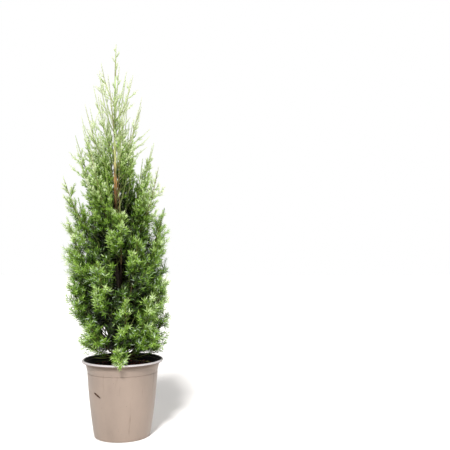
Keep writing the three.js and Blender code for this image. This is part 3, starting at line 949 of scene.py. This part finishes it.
def plastic_material(name, colour, roughness, under_lip=False):
    """Satin plastic with clouds, streaks and specks, and with dust and painted shade under the
    lip.
    """
    material, tree, shader = node_material(name, roughness)
    clouds = shades(colour, (0.32, 0.94), (0.5, 1), (0.7, 1.04))
    layers = [
        (noise_source(tree, 26, 5, (1, 1, 0.5)), clouds),
        (noise_source(tree, 120, 4, (1, 1, 0.07)), STREAKS),
        (noise_source(tree, 620, 3), SPECKS),
    ]
    # Dust and painted shade, darkest right under the lip
    if under_lip:
        place = add_node(tree, "TexCoord", {}, "Object")
        height = add_node(tree, "SeparateXYZ", {"Vector": place}, "Z")
        span = {"Value": height, "From Min": DUST_AND_SHADE_FOOT * MM, "From Max": LIP_HIGHLIGHT_FOOT * MM}
        layers.append((add_node(tree, "MapRange", span, "Result"), DUST_AND_SHADE))
    mixed, *others = [ramp_source(tree, *layer) for layer in layers]
    for other in others:
        mixer = tree.nodes.new("ShaderNodeMixRGB")
        mixer.blend_type = "MULTIPLY"
        set_inputs(tree, mixer, {"Fac": 1, "Color1": mixed, "Color2": other})
        mixed = mixer.outputs["Color"]
    set_inputs(tree, shader, {"Base Color": mixed})
    add_bump(tree, shader, noise_source(tree, 1400, 2), 0.12, 0.0002)
    return material


def lathe_arrays(outline, segments):
    """A body turned about the upright axis, on which its outline starts and ends."""
    across, height = np.array(outline).T[:, :, None, None]
    points = across * turned(RIGHT, BACK, circle_turns(segments)) + height * UP
    vertices = np.concatenate([points[1:-1].reshape(-1, 3), points[[0, -1], 0]])
    count = len(vertices) - 2
    faces = np.concatenate([
        halved(ring_faces(len(outline) - 2, segments)),
        fan(np.arange(segments), count)[:, ::-1],
        fan(np.arange(count - segments, count), count + 1),
    ])
    return vertices, faces


def arc(across, height, radius, turns):
    return [(across + radius * math.cos(turn), height + radius * math.sin(turn)) for turn in turns]


def pot_outline():
    """The pot's section: floor, foot, wall, ring groove, collar, rolled lip and inside."""
    roll = LIP_THICKNESS / 2
    lip_foot = RIM_HEIGHT - LIP_THICKNESS
    flat = FOOT_RADIUS - FOOT_CHAMFER
    outline = [(0, 0), (flat - 6, 0), (flat, 0)]
    outline += arc(flat, FOOT_CHAMFER, FOOT_CHAMFER, np.linspace(0.3 - math.pi / 2, 0, 4))
    outline += [(pot_wall(z), z) for z in np.linspace(6, RING_HEIGHT - 2, 18)]
    ring = pot_wall(RING_HEIGHT)
    outline += [(ring - depth, RING_HEIGHT + up) for depth, up in RING_CORNERS]
    outline.append((pot_wall(BAND_HEIGHT - 1.5), BAND_HEIGHT - 1.5))
    collar_top = lip_foot - 0.6
    for z in np.linspace(BAND_HEIGHT + 0.5, collar_top - 1.8, 24):
        share = (z - BAND_HEIGHT) / (collar_top - BAND_HEIGHT)
        notch = sum(depth * math.exp(-((z - line) / 0.6) ** 2) for line, depth in FAINT_LINES)
        outline.append((lerp(COLLAR_FOOT_RADIUS, COLLAR_TOP_RADIUS, share) - notch, z))
    outline += [
        (COLLAR_TOP_RADIUS - UNDERCUT, collar_top - 1.1),
        (COLLAR_TOP_RADIUS - UNDERCUT, lip_foot - 0.2),
        (COLLAR_TOP_RADIUS + 0.4, lip_foot + 0.3),
    ]
    turns = np.linspace(-math.pi * 0.42, math.pi * 0.93, 14)
    outline += arc(RIM_RADIUS - roll, RIM_HEIGHT - roll, roll, turns)
    outline.append((COLLAR_TOP_RADIUS - WALL, lip_foot - WALL))
    outline += [(pot_wall(z) - WALL, z) for z in np.linspace(BAND_HEIGHT, FLOOR + 1, 12)]
    return outline + [(pot_wall(FLOOR) - WALL - 1, FLOOR), (DRAIN_CIRCLE, FLOOR), (0, FLOOR)]


def make_pot():
    pot = make_mesh("pot_shell", *lathe_arrays(pot_outline(), POT_SEGMENTS), [
        # The second material, a paler plastic for the lip's top, is a painted highlight
        plastic_material("pot_plastic", POT_COLOUR, 0.42, under_lip=True),
        plastic_material("lip_highlight_plastic", LIP_HIGHLIGHT_COLOUR, 0.2),
        plastic_material("inside_plastic", INSIDE_COLOUR, 0.5),
    ])
    drills = []
    for turn in circle_turns(DRAIN_HOLES):
        place = turned(RIGHT, BACK, turn) * DRAIN_CIRCLE + UP * FLOOR / 2
        bpy.ops.mesh.primitive_cylinder_add(
            vertices=32, radius=DRAIN_RADIUS * MM, depth=3 * FLOOR * MM, location=place * MM,
        )
        drills.append(bpy.context.object)
        cut = pot.modifiers.new("drain", "BOOLEAN")
        cut.object = drills[-1]
        cut.solver = "EXACT"
    evaluated = pot.evaluated_get(bpy.context.evaluated_depsgraph_get())
    cut_mesh = bpy.data.meshes.new_from_object(evaluated)
    pot.modifiers.clear()
    pot.data = cut_mesh
    for drill in drills:
        bpy.data.objects.remove(drill)
    for polygon in pot.data.polygons:
        polygon.use_smooth = True
        centre, normal = polygon.center, polygon.normal
        inwards = centre.x * normal.x + centre.y * normal.y < -1e-4
        least = LIP_SHADE_RADIUS if inwards else COLLAR_TOP_RADIUS + 0.3
        outer = math.hypot(centre.x, centre.y) > least * MM
        # Outer faces on the lip's top take the pale colour: a painted highlight
        if outer and centre.z > LIP_HIGHLIGHT_FOOT * MM:
            polygon.material_index = 1
        elif inwards or (normal.z > 0.5 and centre.z < RIM_HEIGHT / 2 * MM):
            polygon.material_index = 2
    pot.data.set_sharp_from_angle(angle=math.radians(SHARP_ANGLE))
    settle(pot, "pot", "pot")


def make_fleck():
    """A fleck of bark that has stuck to the outside of the wall."""
    turn, height = FLECK_PLACE
    out = turned(RIGHT, BACK, turn)
    along = turned(np.cross(UP, out), UP, FLECK_SLANT)
    aside = np.cross(out, along)
    centre = out * (pot_wall(height) + FLECK_OFF) + UP * height
    vertices = [
        centre + along * a + aside * b + out * level
        for level in (-FLECK_HALF, FLECK_HALF) for a, b in FLECK_CORNERS
    ]
    count = len(FLECK_CORNERS)
    lid = np.array([[0, n, n + 1] for n in range(1, count - 1)])
    faces = np.concatenate([halved(ring_faces(2, count)), lid[:, ::-1], lid + count])
    finish = bark_material("fleck", FLECK_COLOUR, 500)
    settle(make_mesh("bark_fleck", vertices, faces, [finish]), "soil")


def make_soil():
    """The root ball: its top is rough, and its side follows the pot's inner wall."""
    inner = pot_wall(BAND_HEIGHT) - WALL - CLEARANCE
    outline = [(0, FLOOR + CLEARANCE)]
    outline += [
        (pot_wall(z) - WALL - 2 * CLEARANCE, z)
        for z in np.linspace(FLOOR + CLEARANCE, BAND_HEIGHT, 8)
    ]
    outline += [(inner * (1 - ring / SOIL_RINGS), SOIL_EDGE) for ring in range(SOIL_RINGS)]
    outline.append((0, SOIL_EDGE))
    vertices, faces = lathe_arrays(outline, SOIL_SEGMENTS)
    for row in np.flatnonzero(vertices[:, 2] > BAND_HEIGHT + 1):
        place = Vector((*vertices[row, :2], 0))
        spread = math.hypot(place.x, place.y)
        mound = SOIL_MOUND * min(1, max(0, (inner - spread) / (inner - SOIL_FLAT_RADIUS)))
        lumps = LUMPS[0] * noise.fractal(place / LUMPS[1], 1.0, 2.0, 4)
        lumps += CRUMBS[0] * noise.noise(place / CRUMBS[1])
        fade = min(1, (inner - spread) / 4 + 0.35)
        vertices[row, 2] = SOIL_EDGE + mound + lumps * fade - SOIL_SUNK
    stops = shades(SOIL_COLOUR, (0.35, 0.5), (0.55, 1), (0.75, 2.2))
    finish = noise_material("soil", 0.85, 0.3, (420, 8), stops, (1.0, 0.001))
    settle(make_mesh("soil_ball", vertices, faces, [finish]), "soil", "soil")


def chip_arrays(count, random):
    """Flat bits of bark that lie on the soil, each a bent slab of eight corners."""
    inner = pot_wall(BAND_HEIGHT) - WALL - 3
    vertices = []
    for _ in range(count):
        spread = inner * math.sqrt(random.random()) * 0.96
        turn = random.uniform(0, TURN)
        length, width = random.uniform(*CHIP_LENGTH), random.uniform(*CHIP_WIDTH)
        thick = random.uniform(*CHIP_THICKNESS)
        heading = random.uniform(0, TURN)
        tilt = random.normal(0, CHIP_TILT, 2)
        along = turned(RIGHT, BACK, heading) + UP * tilt[0]
        across = turned(BACK, -RIGHT, heading) + UP * tilt[1]
        centre = turned(RIGHT, BACK, turn) * spread + UP * (SOIL_EDGE + CHIP_RISE)
        shape = SQUARE * random.uniform(*CHIP_SHAPE, (4, 1)) / 2
        vertices += [
            centre + along * a * length + across * b * width + UP * level * thick
            for level in (-0.5, 0.5) for a, b in shape
        ]
    faces = np.concatenate([[[0, 3, 2, 1], [4, 5, 6, 7]], ring_faces(2, 4)])
    return np.array(vertices), repeated(faces, count, 8)


def make_chips(random):
    for number, (colour, count) in enumerate(zip(CHIP_COLOURS, CHIP_COUNTS)):
        finish = bark_material(f"bits_{number}", colour, 300)
        arrays = chip_arrays(count, random)
        settle(make_mesh(f"bark_bits_{number}", *arrays, [finish]), "soil")


def ring_tube(centres, tangents, wanted, places, radii, depth):
    """One tube's vertices and faces, with relief by noise at its places."""
    relief = np.array([[bark_relief(place) for place in ring] for ring in places])
    first, second = cross_axes(tangents, wanted)
    around = turned(first[:, None], second[:, None], circle_turns(places.shape[1]))
    vertices = centres[:, None] + around * (radii + depth * relief)[..., None]
    return vertices.reshape(-1, 3), ring_faces(*places.shape[:2])


def bark_relief(place):
    """Long fibrous ridges: noise that is drawn out along the limb."""
    ridges = noise.fractal(Vector((*place[:2], place[2] * 0.14)) * 0.9, 0.9, 2.1, 3)
    plates = noise.noise(Vector((*place[:2], place[2] * 0.3)) * 0.35)
    return 0.75 * ridges + 0.6 * plates


def make_wood():
    """Trunk and boughs in one mesh, with the relief of their bark."""
    flare_top = TRUNK_FOOT + FLARE_TOP
    heights = np.concatenate([
        np.linspace(TRUNK_FOOT - 2, flare_top, FLARE_RINGS),
        np.linspace(flare_top + 1, TRUNK_TIP, TRUNK_RINGS),
    ])
    turns = circle_turns(TRUNK_SIDES)
    upright = np.repeat(UP[None], len(heights), axis=0)
    places = turned(RIGHT, BACK, turns) * 5 + heights[:, None, None] * UP
    radii = trunk_radius(heights)[:, None]
    depth = TRUNK_RELIEF * np.minimum(1, radii / 3)
    radii = radii + flare_at(np.maximum(heights, TRUNK_FOOT)[:, None], turns)
    parts = [ring_tube(trunk_axis(heights), upright, RIGHT, places, radii, depth)]
    circle = turned(RIGHT, BACK, circle_turns(BOUGH_SIDES))
    steps = np.arange(BOUGH_RINGS)[:, None]
    radii = lerp(*BOUGH_RADII, steps / (BOUGH_RINGS - 1)) * BOUGH_SLIMNESS
    radii = radii + BOUGH_COLLAR * np.exp(-steps / 4)
    for shoot in boughs:
        shares = np.linspace(shoot["foot"] * 0.3, shoot["start"], BOUGH_RINGS)
        centres = bend_point(shoot["curve"], shares)
        tangents = bend_tangent(shoot["curve"], shares)
        places = centres[:, None] + (circle + UP * shoot["index"]) * 2
        parts.append(
            ring_tube(centres, tangents, shoot["across"], places, radii, BOUGH_RELIEF)
        )
    vertices = np.concatenate([points for points, _ in parts])
    starts = np.cumsum([0] + [len(points) for points, _ in parts])
    faces = np.concatenate([faces + start for (_, faces), start in zip(parts, starts)])
    # Bark colour by height: its dark low part is painted shade
    levels = np.arange(BARK_HEIGHTS[0], BARK_HEIGHTS[-1] + BARK_STEP, BARK_STEP)
    tints = []
    for step, level in enumerate(levels):
        colour = [np.interp(level, BARK_HEIGHTS, channel) for channel in zip(*BARK_AND_SHADE_COLOURS)]
        tints.append(bark_material(f"bark_{step}", colour, 380))
    rise = (vertices[faces[:, 0], 2] - levels[0]) / BARK_STEP
    dealt = np.clip(rise, 0, len(levels) - 1).round()
    wood = make_mesh("trunk_and_boughs", vertices, faces, tints, dealt)
    settle(wood, "bark", "trunk", *(f"bough_{shoot['index'] + 1:02d}" for shoot in boughs))


def crown_tone(batch, spread):
    """The tone of each curve by its place in the crown, with its own spread added."""
    point = bend_point(batch["curve"], TONE_PLACE)
    height = crown_share(point)
    radius = crown_radius(point[:, 2] - RIM_HEIGHT) + 1
    outer = np.clip(off_trunk(point) / radius, 0, 1)
    fade = np.clip(OUTER_FADE[0] - OUTER_FADE[1] * height, 0, 1)
    shade = OUTER_LIGHT * (outer - OUTER_SHARE) * fade
    step = smooth_step(np.clip((height - STEP_START) / STEP_LENGTH, 0, 1))
    foot = FOOT_LIGHT * np.clip(1 - height / FOOT_SHARE, 0, 1)
    ends = foot - np.clip(height - LAST_RISE, 0, 1)
    return LOWEST_TONE + ends + TONE_STEP * step + TONE_RISE * height + shade + spread


def make_foliage(random):
    """Stems, sprays, twiglets and needles, joined by kind and, for needles, by tone."""
    main_stems = stem_batch(shoots)
    fine_stems = stem_batch([make_fine_shoot(number) for number in range(FINE_SHOOTS)])
    points = [bend_point(fine_stems["curve"], share) for share in np.linspace(0.1, 1, 10)]
    fine_stems = chosen(fine_stems, sum(map(before_bare_trunk, points)) < 2)
    stems = joined([main_stems, fine_stems])
    spire = spire_batch()
    sprays = joined([
        main_spray_batch(random), fill_spray_batch(stems, random),
        fill_spray_batch(spire, random, spire=True),
    ])
    twigs = twig_batch(sprays, random)
    of_stems, of_sprays, of_twigs = [
        random.normal(0, spread, len(batch["length"]))
        for batch, spread in zip((stems, sprays, twigs), TONE_SPREADS)
    ]
    of_stems[0] -= SPRIG_SHADE
    stems["tone"] = crown_tone(stems, of_stems)
    sprays["tone"] = crown_tone(sprays, of_sprays + of_stems[sprays["stem"]])
    twigs["tone"] = 0.5 * (sprays["tone"][twigs["spray"]] + crown_tone(twigs, of_twigs))
    twigs["tone"] += SPRAY_END_TONE * (twigs["spot"] - 0.5)
    barks = plain_materials("stem_bark", STEM_COLOURS, 0.72, 0.3)
    greens = plain_materials("green_twigs", TWIG_COLOURS, 0.55, 0.35)
    masses = [f"mass_{index + 1:02d}" for index in range(SHOOTS)] + ["mass_leader"]
    for name, batch, radii, steps, sides, finishes, slot in [
        ("stems", main_stems, STEM_RADII, 20, 7, barks, "bark"),
        ("fine_stems", fine_stems, FINE_RADII, 20, 7, greens, "bark"),
        ("spray_twigs", sprays, SPRAY_RADII, 5, 4, greens, "bark"),
        ("twiglets", twigs, TWIG_RADII, 1, 3, greens, "needles"),
    ]:
        vertices, faces = tube_arrays(batch, radii, steps, sides)
        dealt = np.searchsorted(COLOUR_STEPS, crown_share(vertices[faces[:, 0]]))
        settle(make_mesh(name, vertices, faces, finishes, dealt), slot, *masses)
    spire["tone"] = crown_tone(spire, 0)
    leader = chosen(main_stems, [SHOOTS])
    leader["tone"] = crown_tone(leader, 0)
    whorls = joined([
        needle_nodes(batch, bare, random)
        for batch, bare in zip((stems, spire, leader, sprays, twigs), BARE_SHARES)
    ])
    corners, groups = needle_arrays(whorls, random)
    finishes = plain_materials("needles", [*NEEDLE_TONES, GLAUCOUS_AND_HIGHLIGHT_COLOUR], 0.33, 0.55)
    for number, finish in enumerate(finishes):
        rows = np.flatnonzero(groups == number)
        for part, first in enumerate(range(0, len(rows), MOST_NEEDLES)):
            vertices = corners[rows[first:first + MOST_NEEDLES]]
            faces = repeated(NEEDLE_FACES, *vertices.shape[:2])
            name = f"needles_{number}" + f"_{part}" * (part > 0)
            piece = make_mesh(name, vertices.reshape(-1, 3), faces, [finish])
            settle(piece, "needles", *masses)


def make_stage():
    """Pale floor, white surroundings, and soft light from above, front and sides."""
    corners = [(x, y, -FLOOR_BELOW) for x, y in SQUARE * FLOOR_REACH]
    stops = shades(FLOOR_COLOUR, (0.3, 0.99), (0.7, 1))
    paper = noise_material("floor_paper", 0.9, 0.1, (2, 2), stops)
    make_mesh("floor", corners, [[0, 1, 2, 3]], [paper])
    world = bpy.data.worlds.new("studio")
    world.use_nodes = True
    tree = world.node_tree
    sky = tree.nodes["Background"]
    set_inputs(tree, sky, {"Color": (1, 1, 1, 1), "Strength": SKY_STRENGTH})
    backdrop = add_node(tree, "Background", {"Color": (1, 1, 1, 1)}, "Background")
    seen = add_node(tree, "LightPath", {}, "Is Camera Ray")
    shaders = {"Fac": seen, 1: sky.outputs["Background"], 2: backdrop}
    either = add_node(tree, "MixShader", shaders, "Shader")
    set_inputs(tree, tree.nodes["World Output"], {"Surface": either})
    bpy.context.scene.world = world
    for name, azimuth, elevation, spread, strength in SUNS:
        light = bpy.data.lights.new(name, "SUN")
        light.angle = math.radians(spread)
        light.energy = strength
        level = turned(-BACK, RIGHT, math.radians(azimuth))
        towards = Vector(turned(level, UP, math.radians(elevation)))
        add_object(name, light).rotation_euler = towards.to_track_quat("Z", "Y").to_euler()


def make_camera():
    """The photograph's view: a little to the plant's right, level with its lower crown."""
    camera = bpy.data.cameras.new("camera")
    camera.lens = VIEW_FOCUS * camera.sensor_width
    camera.clip_start, camera.clip_end = VIEW_CLIP
    eye = add_object("camera", camera)
    eye.location = VIEW_PLACE * MM
    eye.rotation_euler = (math.pi / 2 + VIEW_TILT, 0, 0)
    bpy.context.scene.camera = eye
    bpy.context.scene.view_settings.view_transform = "Standard"


make_camera()
make_stage()
make_pot()
make_fleck()
make_soil()
make_chips(np.random.default_rng(CHIP_SEED))
make_wood()
make_foliage(np.random.default_rng(FILL_SEED))
